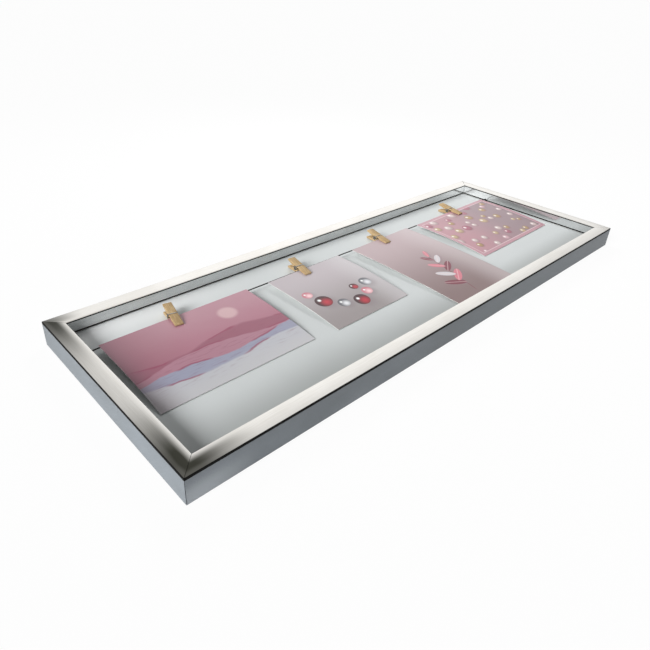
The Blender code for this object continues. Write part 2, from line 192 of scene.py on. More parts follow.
def noise(place, stretch, detail=3.0, roughness=0.5):
    mapped = place.node("ShaderNodeMapping", {}, {"Vector": place, "Scale": stretch})
    inputs = {"Vector": mapped, "Scale": 1.0, "Detail": detail, "Roughness": roughness}
    return place.node("ShaderNodeTexNoise", {}, inputs)

def axes(place):
    split = place.node("ShaderNodeSeparateXYZ", {}, {"Vector": place})
    return split, split.other("Y"), split.other("Z")

def distance(place, point):
    return place.node("ShaderNodeVectorMath", {"operation": "DISTANCE"}, {0: place, 1: point}, 1)

def bumped(shader, height, strength, depth):
    inputs = {"Strength": strength, "Distance": depth, "Height": height}
    feed(shader, "Normal", height.node("ShaderNodeBump", {}, inputs))

print("middle grey of a screen in linear light:", round(shade(128, 128, 128)[0], 3))

# %% [markdown]
# ## Small helpers for modelling
# New pieces start as a primitive and are shaped with operators. An operator works on all
# that is selected, and loading the frame leaves every CAD node selected, so each helper
# deselects first. An outline starts as a circle with as many corners as the shape needs, and
# each corner is slid to its place, which is quicker than drawing it edge by edge.

# %% Select, outline, extrude, finish
CLOSE = MM / 10
SHARP = math.radians(40)

def leave_all():
    if bpy.context.object is not None and bpy.context.object.mode != "OBJECT":
        bpy.ops.object.mode_set(mode="OBJECT")
    bpy.ops.object.select_all(action="DESELECT")

def only(piece):
    leave_all()
    piece.select_set(True)
    bpy.context.view_layer.objects.active = piece

def named(name):
    piece = bpy.context.object
    piece.name = name
    piece.data.name = name
    return piece

def outline(name, corners):
    leave_all()
    bpy.ops.mesh.primitive_circle_add(vertices=len(corners), radius=MM, fill_type="NGON")
    piece = named(name)
    for vertex, corner in zip(piece.data.vertices, corners):
        vertex.co = corner
    return piece

def edit(piece):
    only(piece)
    bpy.ops.object.mode_set(mode="EDIT")
    bpy.ops.mesh.select_all(action="SELECT")

def done(piece):
    bpy.ops.mesh.select_all(action="SELECT")
    bpy.ops.mesh.normals_make_consistent(inside=False)
    bpy.ops.object.mode_set(mode="OBJECT")
    return piece

def extruded(piece, way):
    edit(piece)
    bpy.ops.mesh.extrude_region_move(TRANSFORM_OT_translate={"value": way})
    return done(piece)

def pick_edges(piece, wanted):
    bpy.ops.mesh.select_all(action="DESELECT")
    bpy.ops.mesh.select_mode(type="EDGE")
    sheet = bmesh.from_edit_mesh(piece.data)
    for edge in sheet.edges:
        edge.select_set(wanted(edge.verts[0].co, edge.verts[1].co))
    sheet.select_flush_mode()
    bmesh.update_edit_mesh(piece.data)

def modified(piece, kind, **settings):
    only(piece)
    bpy.ops.object.modifier_add(type=kind)
    modifier = piece.modifiers[-1]
    for name, value in settings.items():
        setattr(modifier, name, value)
    bpy.ops.object.modifier_apply(modifier=modifier.name)
    return piece

def softened(piece, width, segments):
    settings = {"width": width, "segments": segments}
    return modified(piece, "BEVEL", limit_method="ANGLE", angle_limit=SHARP, **settings)

def smoothed(piece, degrees):
    only(piece)
    bpy.ops.object.shade_smooth_by_angle(angle=math.radians(degrees))
    return piece

def set_down(piece, place, turn_degrees=0.0, roll_degrees=0.0):
    only(piece)
    piece.location = place
    piece.rotation_euler = (0, math.radians(roll_degrees), math.radians(turn_degrees))
    bpy.ops.object.transform_apply(location=True, rotation=True, scale=True)
    return piece

def copied(piece, name):
    only(piece)
    bpy.ops.object.duplicate(linked=False)
    return named(name)

def belongs(piece, body, slot, *nodes):
    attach(piece, body)
    if nodes:
        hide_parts(*nodes)

print("CAD nodes to dress:", len(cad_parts))

# %% [markdown]
# ## Studio floor and light
# The photo is a product shot on pure white, lit from the left. The floor is white for the
# camera and for reflections, but a share of it is plain diffuse paint that keeps the frame's
# soft shadow. In the sky there is one broad bright panel behind the frame, which is what the
# silver mirrors towards the camera. A wide, low sun on the left throws the left rail's shadow
# on the board. A lamp above the far right corner brightens the board towards that corner: a
# sun would light it evenly, but a lamp that is near grows weaker with distance. Both are hidden
# from glossy rays, so that the silver mirrors the white studio and no bright discs.

# %% The floor
FLOOR_SIDE = 60.0
FLOOR_DROP = 0.2 * MM
FLOOR_PAINT = (0.95, 0.95, 0.95, 1)
FLOOR_GLOW = 0.92

leave_all()
bpy.ops.mesh.primitive_plane_add(size=FLOOR_SIDE, location=(0, 0, -FLOOR_DROP))
floor = named("studio_floor")
floor_finish, floor_shader, floor_place = begin("studio_white", {"Roughness": 0.9})
floor_shader.inputs["Base Color"].default_value = FLOOR_PAINT
floor_shader.inputs["Specular IOR Level"].default_value = 0.0
rays = floor_place.node("ShaderNodeLightPath", {}, {})
seen = rays.other("Is Camera Ray") + rays.other("Is Glossy Ray") + rays.other("Is Transmission Ray")
glow = floor_place.node("ShaderNodeEmission", {}, {"Color": WHITE, "Strength": 1.0})
paint = Flow(floor_finish.node_tree, floor_shader.outputs[0])
surface = floor_place.node("ShaderNodeMixShader", {}, {0: seen * FLOOR_GLOW, 1: paint, 2: glow})
floor_output = floor_finish.node_tree.nodes["Material Output"]
floor_finish.node_tree.links.new(surface.socket, floor_output.inputs["Surface"])
floor.data.materials.append(floor_finish)
print("floor side in m:", FLOOR_SIDE)

# %% The sky
PANEL_WAY = (0.629, 0.698, 0.342)
PANEL_START, PANEL_FULL = 0.743, 0.990
PANEL_LIGHT = 0.60
MIRRORED_SKY = 0.74
FILL_LIGHT = 0.12

world = bpy.data.worlds.new("studio_sky")
bpy.context.scene.world = world
world.use_nodes = True
sky_tree = world.node_tree
sky_place = Flow(sky_tree, sky_tree.nodes.new("ShaderNodeTexCoord").outputs["Generated"])
both_ways = {0: sky_place, 1: PANEL_WAY}
facing = sky_place.node("ShaderNodeVectorMath", {"operation": "DOT_PRODUCT"}, both_ways, 1)
mirrored = MIRRORED_SKY + rise(facing, PANEL_START, PANEL_FULL) * PANEL_LIGHT
paths = sky_place.node("ShaderNodeLightPath", {}, {})
glossy = paths.other("Is Glossy Ray") + paths.other("Is Transmission Ray")
sky_light = FILL_LIGHT + glossy * (mirrored - FILL_LIGHT)
sky_light = sky_light + paths.other("Is Camera Ray") * (1 - FILL_LIGHT)
background = sky_tree.nodes["Background"]
background.inputs["Color"].default_value = WHITE
sky_tree.links.new(sky_light.socket, background.inputs["Strength"])
print("sky for mirrors:", MIRRORED_SKY, "to", MIRRORED_SKY + PANEL_LIGHT)

# %% The lamps
SUN_PLACE, SUN_STRENGTH, SUN_ANGLE = (-0.95, -0.1, 0.54), 4.2, math.radians(28)
LAMP_PLACE, LAMP_STRENGTH, LAMP_SIZE = (0.30, 0.42, 0.52), 2.0, 0.35

def hang_lamp(name, kind, place, strength):
    light = bpy.data.lights.new(name, kind)
    light.energy = strength
    lamp = bpy.data.objects.new(name, light)
    bpy.context.scene.collection.objects.link(lamp)
    lamp.location = place
    lamp.rotation_euler = (-Vector(place)).to_track_quat("-Z", "Y").to_euler()
    lamp.visible_glossy = False
    return light

hang_lamp("left_sun", "SUN", SUN_PLACE, SUN_STRENGTH).angle = SUN_ANGLE
hang_lamp("corner_lamp", "AREA", LAMP_PLACE, LAMP_STRENGTH).size = LAMP_SIZE

# %% [markdown]
# ## The moulding
# The four rails are cut from one moulding: a flat silver face, a bright inner wall down to a
# black shadow groove, grey outer sides, and a rebate at the back for the board. It could be a
# swept curve, but an extruded section with mitres cut by Bisect is how the real one is made.
# The long upper edges are bevelled, so that they catch the light as the real ones do.

# %% Section of the moulding
SIGHT_X = 295.5 * MM
SIGHT_Y = 97.5 * MM
FACE_WIDTH = 14.5 * MM
FRAME_DEPTH = 23.5 * MM
LEDGE_Z = 10.5 * MM
QUIRK_TOP = 12.5 * MM
QUIRK_DEPTH = 1.4 * MM
REBATE_WIDTH = 4.9 * MM
ARRIS = 0.6 * MM
OUTER_LINE = 1.7 * MM
INNER_LINE = 1.1 * MM
MITRE_GAP = 0.2 * MM

moulding = [
    (0, QUIRK_TOP),
    (0, FRAME_DEPTH - ARRIS - INNER_LINE),
    (0, FRAME_DEPTH),
    (FACE_WIDTH, FRAME_DEPTH),
    (FACE_WIDTH, FRAME_DEPTH - ARRIS - OUTER_LINE),
    (FACE_WIDTH, 0),
    (REBATE_WIDTH, 0),
    (REBATE_WIDTH, LEDGE_Z),
    (QUIRK_DEPTH, LEDGE_Z),
    (QUIRK_DEPTH, QUIRK_TOP),
]
print("section corners:", len(moulding))

# %% Extrude and mitre a rail
def make_rail(name, sight_half, sight_offset):
    reach = sight_half + FACE_WIDTH
    piece = outline(name, [(-reach, sight_offset + out, up) for out, up in moulding])
    extruded(piece, (2 * reach, 0, 0))
    edit(piece)
    def on_top(first, second):
        along = abs(first.x - second.x) > reach
        return along and min(first.z, second.z) > FRAME_DEPTH - ARRIS / 2
    pick_edges(piece, on_top)
    bpy.ops.mesh.bevel(offset=ARRIS, segments=4, affect="EDGES")
    for side in (-1, 1):
        bpy.ops.mesh.select_all(action="SELECT")
        corner = (side * (sight_half - MITRE_GAP), sight_offset, 0)
        mitre = {"plane_co": corner, "plane_no": (side, -1, 0)}
        bpy.ops.mesh.bisect(use_fill=True, clear_outer=True, **mitre)
    return done(piece)

rails = {
    "rail_top": make_rail("moulding_top", SIGHT_X, SIGHT_Y),
    "rail_left": make_rail("moulding_left", SIGHT_Y, SIGHT_X),
}
print("faces of a rail:", len(rails["rail_top"].data.polygons))

# %% [markdown]
# ## Slots for the corner nails
# A bent nail across each mitre holds the corner together from behind. On the real rail the
# nail makes its own slot when it is pressed in. Without one the nail would lie inside the wood
# here, so a slot of the nail's plan is cut from both ends of a rail with a Boolean modifier.

# %% Cut the nail slots
NAIL_INSET = 5 * MM
SLOT_HALF = 0.6 * MM
SLOT_WING = 6.3 * MM
SLOT_TOP = 7.3 * MM
slot_plan = [
    (SLOT_HALF, SLOT_HALF), (-SLOT_WING, SLOT_HALF), (-SLOT_WING, -SLOT_HALF),
    (-SLOT_HALF, -SLOT_HALF), (-SLOT_HALF, -SLOT_WING), (SLOT_HALF, -SLOT_WING),
]

def cut_nail_slots(piece, sight_half, sight_offset):
    bend_x = sight_half + FACE_WIDTH - NAIL_INSET
    bend_y = sight_offset + FACE_WIDTH - NAIL_INSET
    for side in (-1, 1):
        tool = outline("slot_tool", [(side * (bend_x + x), bend_y + y, -MM) for x, y in slot_plan])
        extruded(tool, (0, 0, SLOT_TOP + MM))
        modified(piece, "BOOLEAN", object=tool, operation="DIFFERENCE")
        bpy.data.objects.remove(tool)

cut_nail_slots(rails["rail_top"], SIGHT_X, SIGHT_Y)
cut_nail_slots(rails["rail_left"], SIGHT_Y, SIGHT_X)
print("faces of a slotted rail:", len(rails["rail_top"].data.polygons))

# %% [markdown]
# ## Which finish goes where
# One rail carries five finishes. They could be painted with masks in one material, but the
# borders are real edges here, so each face gets a material slot by its direction and place.
# The face is 0, the inner wall 1, the outer side 2, the black lines 3 and the raw back 4. The
# mitres count as black lines too, because dark filler is rubbed into them.

# %% Give each face its slot and copy the rails
FACE, WALL, SIDE, BLACK, RAW = range(5)

def slot_of(polygon, sight_offset):
    out = polygon.center.y - sight_offset
    up = polygon.center.z
    normal = polygon.normal
    if up < SLOT_TOP + CLOSE and out < FACE_WIDTH - MM:
        return RAW
    if abs(normal.x) > 0.5:
        return BLACK
    if normal.z > 0.98:
        return FACE
    if out > FACE_WIDTH / 2 and up > FRAME_DEPTH - ARRIS - OUTER_LINE and normal.z > -0.5:
        return BLACK
    if normal.y > 0.5:
        return SIDE
    if out < QUIRK_DEPTH / 2 and up > FRAME_DEPTH - ARRIS:
        return FACE
    if out < QUIRK_DEPTH / 2 and up > FRAME_DEPTH - ARRIS - INNER_LINE:
        return BLACK
    if out < QUIRK_DEPTH / 2 and up > QUIRK_TOP:
        return WALL
    if up > LEDGE_Z - MM / 2 and out < QUIRK_DEPTH + MM / 2:
        return BLACK
    return RAW

for name, offset in (("rail_top", SIGHT_Y), ("rail_left", SIGHT_X)):
    for polygon in rails[name].data.polygons:
        polygon.material_index = slot_of(polygon, offset)
rails["rail_bottom"] = copied(rails["rail_top"], "moulding_bottom")
rails["rail_right"] = copied(rails["rail_left"], "moulding_right")
for name, degrees in (("rail_left", 90), ("rail_bottom", 180), ("rail_right", 270)):
    set_down(rails[name], (0, 0, 0), degrees)
print("rails:", sorted(rails))

# %% [markdown]
# ## Silver face
# The face is foil, brushed along each rail, and darkened towards the corners on the left by a
# painted dark reflection. Brushing could come from anisotropy, but that doesn't export, so long
# thin noise drives the colour and the roughness instead. The painted dark reflection follows the
# distance to a corner and stops short of the edges, above all the inner one, so that they stay
# bright. Each rail has its own share of it.

# %% Where each rail gets painted dark reflection
NEAR_LEFT, FAR_LEFT = (-310, -112), (-310, 112)
NEAR_RIGHT, FAR_RIGHT = (310, -112), (310, 112)

# axis across the rail, its side of the frame, sight edge, painted dark reflection all along,
# then for each corner the depth of the painted dark reflection and the distances where it starts
# and is full
PAINTED_DARK_REFLECTION = {
    "rail_top": (1, 1, SIGHT_Y, 0.0, {FAR_LEFT: (0.92, 36, 0), FAR_RIGHT: (0.10, 20, 0)}),
    "rail_bottom": (1, -1, SIGHT_Y, 0.0, {NEAR_LEFT: (1.0, 64, 12), NEAR_RIGHT: (0.16, 24, 0)}),
    "rail_left": (0, -1, SIGHT_X, 0.18, {NEAR_LEFT: (0.86, 90, 14), FAR_LEFT: (0.88, 95, 0)}),
    "rail_right": (0, 1, SIGHT_X, 0.0, {NEAR_RIGHT: (0.16, 24, 0), FAR_RIGHT: (0.10, 20, 0)}),
}
print("rails to rub:", len(PAINTED_DARK_REFLECTION))

# %% Brushed foil
FOIL_PALE = shade(236, 234, 230)
FOIL_DEEP = shade(219, 216, 210)
# colour of the painted dark reflection on the foil
FOIL_DARK_REFLECTION = shade(62, 62, 55)

def brushed_foil(name):
    axis, side, sight, reflection_all_along, corners = PAINTED_DARK_REFLECTION[name]
    material, shader, place = begin(f"{name}_foil", {"Metallic": 1.0})
    stretch = (3200, 45, 1500) if axis == 0 else (45, 3200, 1500)
    streaks = noise(place, stretch, 5.0, 0.62)
    clouds = noise(place, (22, 22, 22), 2.0)
    colour = mixed(rise(streaks * 0.7 + clouds * 0.3, 0.32, 0.68), FOIL_DEEP, FOIL_PALE)
    # painted dark reflection: patchy along some rails, growing towards the listed corners, not at
    # the edges
    dark_reflection = clouds * (2 * reflection_all_along)
    for (x, y), (depth, start, full) in corners.items():
        from_corner = distance(place, (x * MM, y * MM, FRAME_DEPTH))
        dark_reflection = dark_reflection + rise(from_corner + (clouds - 0.5) * (12 * MM), start * MM, full * MM) * depth
    across = axes(place)[axis] * side - sight
    dark_reflection = dark_reflection * rise(across, -1 * MM, 6.5 * MM) * (1 - rise(across, 9 * MM, 13 * MM) * 0.1)
    dressed(shader, mixed(dark_reflection, colour, FOIL_DARK_REFLECTION), 0.27 + streaks * 0.16 + dark_reflection * 0.06)
    bumped(shader, streaks, 0.12, 0.05 * MM)
    return material

foils = {name: brushed_foil(name) for name in rails}
print("foil finishes:", len(foils))

# %% [markdown]
# ## Inner wall, outer side, black lines and raw back
# The inner wall is satin silver that mirrors what lies near it, softly on most of its length
# and clearly along the right rail and in the far corner, where its colour is also painted
# lighter as a painted reflection. The outer side is a grey metallic lacquer, duller than the
# face, with painted light that makes it paler near the near corner and painted shade that makes
# it deeper further from that corner. The black lines are matt paint. The back shows the pressed
# wood fibre of the moulding itself, which no one sees when the frame hangs.

# %% The other four rail finishes
# middle of the inner wall's painted reflection
PAINTED_REFLECTION_CENTRE = (300 * MM, 98 * MM, 18 * MM)
# corner from which the outer side's painted light and painted shade are measured
LIGHT_AND_SHADE_CORNER = (-300 * MM, -112 * MM, 4 * MM)

def satin_wall():
    material, shader, place = begin("satin_wall", {"Metallic": 0.75})
    smear = noise(place, (60, 60, 240), 3.0)
    # painted reflection: the wall's colour is painted lighter near the far right corner
    painted_reflection = rise(distance(place, PAINTED_REFLECTION_CENTRE), 85 * MM, 15 * MM)
    colour = mixed(smear, shade(190, 193, 193), shade(214, 216, 216))
    feed(shader, "Base Color", mixed(painted_reflection, colour, shade(246, 247, 247)))
    right_rail = rise(axes(place)[0], 240 * MM, 294 * MM)
    polish = painted_reflection.math("MAXIMUM", painted_reflection, right_rail * 0.5)
    feed(shader, "Roughness", 0.19 + smear * 0.1 - polish * 0.16)
    return material

def grey_lacquer():
    material, shader, place = begin("grey_lacquer", {"Metallic": 0.18})
    flakes = noise(place, (2600, 2600, 2600), 2.0)
    clouds = noise(place, (16, 16, 40), 2.0)
    tone = rise(flakes * 0.6 + clouds * 0.4, 0.3, 0.7)
    colour = mixed(tone, shade(104, 111, 116), shade(134, 141, 148))
    from_corner = distance(place, LIGHT_AND_SHADE_CORNER)
    # painted shade: the lacquer is painted deeper away from the near corner
    colour = mixed(rise(from_corner, 130 * MM, 300 * MM) * 0.5, colour, shade(84, 90, 94))
    x, y, z = axes(place)
    near_side = rise(y, -111 * MM, -111.9 * MM) * rise(x, -309.9 * MM, -309 * MM)
    # painted light: the near side is painted paler close to the near corner
    painted_side_light = rise(from_corner + clouds * (14 * MM), 62 * MM, 8 * MM) * near_side
    painted_side_light = painted_side_light * rise(z, 21 * MM, 7 * MM)
    dressed(shader, mixed(painted_side_light * 0.6, colour, shade(190, 196, 202)), 0.36 + clouds * 0.16)
    return material

def black_line():
    material, shader, place = begin("black_line", {"Specular IOR Level": 0.1})
    dust_and_shade = noise(place, (400, 400, 400), 2.0)
    colour = mixed(rise(dust_and_shade, 0.45, 0.8), shade(5, 5, 5), shade(20, 19, 18))
    dressed(shader, colour, 0.5 + dust_and_shade * 0.25)
    return material

def pressed_fibre():
    material, shader, place = begin("pressed_fibre", {"Specular IOR Level": 0.25})
    fibres = noise(place, (900, 700, 800), 6.0, 0.7)
    clouds = noise(place, (30, 30, 30), 2.0)
    tone = rise(fibres * 0.7 + clouds * 0.3, 0.3, 0.7)
    dressed(shader, mixed(tone, shade(150, 118, 84), shade(196, 166, 128)), 0.75 + fibres * 0.2)
    bumped(shader, fibres, 0.35, 0.1 * MM)
    return material

fibre = pressed_fibre()
shared = [satin_wall(), grey_lacquer(), black_line(), fibre]
for name, piece in rails.items():
    for material in [foils[name]] + shared:
        piece.data.materials.append(material)
    smoothed(piece, 30)
    belongs(piece, "frame", "silver_moulding", name)
print("rails dressed:", len(rails))

# %% [markdown]
# ## The backing board
# A thin board with a pale, slightly cool coat on its front lies in the rebate. Its solid is
# right as it is, with a small hole for each end of the cord, so the CAD node stays and only
# gets a finish: coated in front, and bare brown hardboard on its edges and back. Painted shade
# darkens the coat along its lower edge, next to the lower rail, and painted light makes it
# paler in the upper left corner.

# %% Coated hardboard
BOARD_Z = 10.2 * MM

def coated_board():
    material, shader, place = begin("coated_board", {"Specular IOR Level": 0.35})
    fibres = noise(place, (500, 620, 500), 6.0, 0.7)
    clouds = noise(place, (9, 11, 9), 3.0)
    coat = mixed(clouds, shade(202, 206, 206), shade(211, 215, 215))
    x, y, z = axes(place)
    # painted shade: the coat darkens towards the lower rail, widely left of the middle, narrowly
    # all along
    dust_and_shade = rise(y + (clouds - 0.5) * (12 * MM), -42 * MM, -98 * MM)
    dust_and_shade = dust_and_shade * rise(abs(x + 100 * MM), 290 * MM, 130 * MM)
    dust_and_shade = dust_and_shade.math("MAXIMUM", dust_and_shade, rise(y, -58 * MM, -92 * MM) * 0.8)
    coat = mixed(dust_and_shade, coat, shade(160, 163, 162))
    # painted light: the coat is painted paler in the upper left corner
    painted_corner_light = rise(y, 50 * MM, 96 * MM) * rise(x, -90 * MM, -265 * MM)
    coat = mixed(painted_corner_light, coat, shade(236, 238, 238))
    bare = mixed(rise(fibres, 0.3, 0.7), shade(104, 72, 46), shade(150, 110, 74))
    front = rise(z, BOARD_Z - 0.4 * MM, BOARD_Z - 0.1 * MM)
    dressed(shader, mixed(front, bare, coat), 0.72 - front * 0.2 + fibres * 0.12)
    bumped(shader, fibres, 0.10, 0.05 * MM)
    return material

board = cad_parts["backing_board"]
board.data.materials.clear()
board.data.materials.append(coated_board())
print("board slots:", [m.name for m in board.data.materials])

# %% [markdown]
# ## The cord
# A dark twisted cord comes up through the board at one end, runs tight across the frame and
# goes down through the board at the other. A bevelled curve would be a smooth tube, so three
# strands are wound round the route instead, each a thin tube that follows a helix. The route
# passes the same points as in the CAD source, and its left half mirrors its right half.

# %% Route of the cord
CORD_Y = 57.5 * MM
CORD_RADIUS = 0.7 * MM
ROUTE_STEPS = 6
cord_end = [
    (294.2, 3.26), (294.2, 7.9), (294.2, 10.9), (292.7, 14.05),
    (289.2, 15.05), (278.2, 15.05), (262.2, 15.05),
]

def smooth_route(points, steps):
    ends = [2 * points[0] - points[1]] + points + [2 * points[-1] - points[-2]]
    route = []
    for before, start, after, later in zip(ends, ends[1:], ends[2:], ends[3:]):
        for step in range(steps):
            t = step / steps
            route.append(0.5 * (2 * start + (after - before) * t
                                + (2 * before - 5 * start + 4 * after - later) * t ** 2
                                + (3 * start - before - 3 * after + later) * t ** 3))
    return route + [points[-1]]

right_half = smooth_route([Vector((x * MM, CORD_Y, z * MM)) for x, z in cord_end], ROUTE_STEPS)
left_half = [Vector((-point.x, point.y, point.z)) for point in reversed(right_half)]
cord_route = right_half + left_half
cord_length = sum((b - a).length for a, b in zip(cord_route, cord_route[1:]))
print("cord length in mm:", round(cord_length / MM, 1))

# %% Wind the strands
STRANDS = 3
STRAND_RADIUS = 0.36 * MM
TWIST_PITCH = 4.2 * MM
TWIST_STEPS = 10

def along(route, spacing):
    points = [route[0]]
    left = spacing
    for start, end in zip(route, route[1:]):
        stretch = (end - start).length
        place = left
        while place <= stretch:
            points.append(start.lerp(end, place / stretch))
            place += spacing
        left = place - stretch
    return points

def tube(name, lines, radius, sides, closed=False):
    curve = bpy.data.curves.new(name, "CURVE")
    curve.dimensions = "3D"
    curve.bevel_depth = radius
    curve.bevel_resolution = sides
    curve.use_fill_caps = True
    for line in lines:
        spline = curve.splines.new("POLY")
        spline.points.add(len(line) - 1)
        spline.use_cyclic_u = closed
        for point, place in zip(spline.points, line):
            point.co = (*place, 1.0)
    piece = bpy.data.objects.new(name, curve)
    bpy.context.scene.collection.objects.link(piece)
    only(piece)
    bpy.ops.object.convert(target="MESH")
    piece = bpy.context.object
    bpy.ops.object.shade_smooth()
    return piece

def strand(points, phase):
    line = []
    side = Vector((0, 1, 0))
    for index, point in enumerate(points):
        ahead = (points[min(index + 1, len(points) - 1)] - points[max(index - 1, 0)]).normalized()
        other = ahead.cross(side).normalized()
        angle = phase + math.tau * index / TWIST_STEPS
        outwards = side * math.cos(angle) + other * math.sin(angle)
        line.append(point + (CORD_RADIUS - STRAND_RADIUS) * outwards)
    return line

centre_line = along(cord_route, TWIST_PITCH / TWIST_STEPS)
strands = [strand(centre_line, math.tau * number / STRANDS) for number in range(STRANDS)]
cord = tube("twisted_cord", strands, STRAND_RADIUS, 1)
print("cord faces:", len(cord.data.polygons))

# %% [markdown]
# ## Knots behind the board
# Each end of the cord is tied behind the board so that it can't slip back through its hole.
# An overhand knot with its ends joined is a trefoil: a closed curve that crosses over itself
# three times. A swollen ball would look like a bead, and the trefoil's formula is short, so the
# knot is a tube along that curve.

# %% Tie both knots and dye the cord
KNOT_STEPS = 48
KNOT_CENTRE = 5.15 * MM
KNOT_ACROSS = 0.37 * MM
KNOT_HEIGHT = 0.62 * MM
KNOT_CORD = 0.58 * MM

def trefoil(centre):
    line = []
    for step in range(KNOT_STEPS):
        t = math.tau * step / KNOT_STEPS
        across = Vector((math.sin(t) + 2 * math.sin(2 * t), math.cos(t) - 2 * math.cos(2 * t), 0))
        line.append(centre + KNOT_ACROSS * across - Vector((0, 0, KNOT_HEIGHT * math.sin(3 * t))))
    return line

def cord_yarn():
    material, shader, place = begin("cord_yarn", {"Specular IOR Level": 0.2, "Sheen Weight": 0.1})
    hairs = noise(place, (2400, 900, 900), 4.0, 0.7)
    colour = mixed(rise(hairs, 0.3, 0.75), shade(14, 13, 12), shade(46, 41, 37))
    dressed(shader, colour, 0.8 + hairs * 0.15)
    bumped(shader, hairs, 0.5, 0.08 * MM)
    return material

yarn = cord_yarn()
knots = []
for side, end in (("right", cord_route[0]), ("left", cord_route[-1])):
    line = trefoil(Vector((end.x, end.y, KNOT_CENTRE)))
    knots.append(tube(f"cord_knot_{side}", [line], KNOT_CORD, 2, closed=True))
for piece in [cord] + knots:
    piece.data.materials.append(yarn)
    belongs(piece, "frame", "charcoal_cord")
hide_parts("hanging_cord")
print("knots:", [piece.name for piece in knots])

# %% [markdown]
# ## The pegs
# Each peg is two wooden levers round a wire spring. A lever has a slim jaw, a notch for the
# cord, a bigger notch for the coil, a groove for the spring's arm and a handle that tapers
# away. It could be carved from a cube with Boolean cuts, but the real ones are sawn from one
# profile, so its side view is an outline, extruded over the peg's width and then softened.

# %% Side view of a lever
JAW_Z = 16.2 * MM
COIL_Y = 63.1 * MM
PEG_WIDTH = 8 * MM
PEG_JAW = 20 * MM
PEG_HANDLE = 14 * MM
PEG_TIP_HALF = 1.9 * MM
PEG_COIL_HALF = 4.2 * MM
PEG_HANDLE_HALF = 5.5 * MM
PEG_HANDLE_THICKNESS = 2.2 * MM
JAW_HALF_GAP = 0.45 * MM
COIL_NOTCH = 2.6 * MM
COIL_NOTCH_START = 1.0 * MM
LINE_NOTCH = 2.3 * MM
LINE_DISTANCE = 5.6 * MM
ARM_DISTANCE = 3.6 * MM
ARM_GROOVE = 0.8 * MM
NOSE = 0.6 * MM
HEEL = 0.8 * MM
NOTCH_STEPS = 14
GROOVE_STEPS = 8

def arc(centre, radius, start, end, steps):
    angles = [math.radians(start + (end - start) * step / steps) for step in range(steps + 1)]
    return [(centre[0] + radius * math.cos(a), centre[1] + radius * math.sin(a)) for a in angles]

def notch(centre, radius, first_height, last_height):
    start = 180 - math.degrees(math.asin(first_height / radius))
    end = math.degrees(math.asin(last_height / radius))
    return arc((centre, 0), radius, start, end, NOTCH_STEPS)

slope = (PEG_COIL_HALF - PEG_TIP_HALF) / PEG_JAW
arm_height = PEG_COIL_HALF - slope * ARM_DISTANCE
tilt = math.degrees(math.atan(slope))
lever_side = [
    (PEG_JAW, JAW_HALF_GAP),
    (PEG_JAW, PEG_TIP_HALF - NOSE),
    (PEG_JAW - NOSE, PEG_TIP_HALF),
    *arc((ARM_DISTANCE, arm_height), ARM_GROOVE, -tilt, -180 - tilt, GROOVE_STEPS),
    (0, PEG_COIL_HALF),
    (HEEL - PEG_HANDLE, PEG_HANDLE_HALF),
    (-PEG_HANDLE, PEG_HANDLE_HALF - HEEL),
    (-PEG_HANDLE, PEG_HANDLE_HALF - PEG_HANDLE_THICKNESS),
    *notch(0, COIL_NOTCH, COIL_NOTCH_START, JAW_HALF_GAP),
    *notch(LINE_DISTANCE, LINE_NOTCH, JAW_HALF_GAP, JAW_HALF_GAP),
]
print("corners of a lever:", len(lever_side))

# %% Saw and soften one lever
lever = outline("lever_pattern", [(-PEG_WIDTH / 2, -along_jaw, up) for along_jaw, up in lever_side])
extruded(lever, (PEG_WIDTH, 0, 0))
softened(lever, 0.3 * MM, 3)
smoothed(lever, 35)
print("faces of a lever:", len(lever.data.polygons))

# %% [markdown]
# ## Wood of the pegs
# The pegs are plain, unvarnished birch. Grain runs along each lever, whichever way the
# peg is turned, so it can't read the object's coordinates. Each lever keeps its coordinates
# from before it was put in place in an attribute, moved a little on every copy, so that no two
# levers show the same grain.

# %% Birch
def birch():
    material, shader, place = begin("peg_birch", {"Specular IOR Level": 0.3})
    grain_place = place.node("ShaderNodeAttribute", {"attribute_name": "grain"}, {}, "Vector")
    rings = noise(grain_place, (1300, 45, 1000), 4.0, 0.6)
    pores = noise(grain_place, (3200, 160, 2600), 2.0)
    clouds = noise(grain_place, (120, 60, 120), 2.0)
    tone = rise(rings * 0.65 + clouds * 0.35, 0.3, 0.7)
    colour = mixed(tone, shade(157, 130, 93), shade(200, 175, 135))
    colour = mixed(rise(pores, 0.6, 0.8) * 0.5, colour, shade(104, 74, 44))
    dressed(shader, colour, 0.55 + rings * 0.2)
    bumped(shader, rings * 0.6 + pores * 0.4, 0.25, 0.06 * MM)
    return material

lever.data.materials.append(birch())
print("lever finish:", lever.data.materials[0].name)

# %% Put two levers on each peg
# place along the cord in mm and turn in degrees
PEGS = {1: (-215, -12), 2: (-64, -8), 3: (62, -7), 4: (208, -2)}

def keep_grain(piece, number):
    grain = piece.data.attributes.new("grain", "FLOAT_VECTOR", "POINT")
    shift = Vector((0.011 * number, 0.037 * number, 0.017 * number))
    for item, vertex in zip(grain.data, piece.data.vertices):
        item.vector = vertex.co + shift

count = 0
for number, (place_x, turned) in PEGS.items():
    centre = (place_x * MM, COIL_Y, JAW_Z)
    for side, roll, body in (("front", 0, f"peg_{number}_front"), ("back", 180, f"peg_{number}")):
        count += 1
        piece = copied(lever, f"birch_lever_{number}_{side}")
        keep_grain(piece, count)
        set_down(piece, centre, turned, roll)
        belongs(piece, body, "peg_wood", f"peg_{number}_{side}_lever")
bpy.data.objects.remove(lever)
print("levers placed:", count)

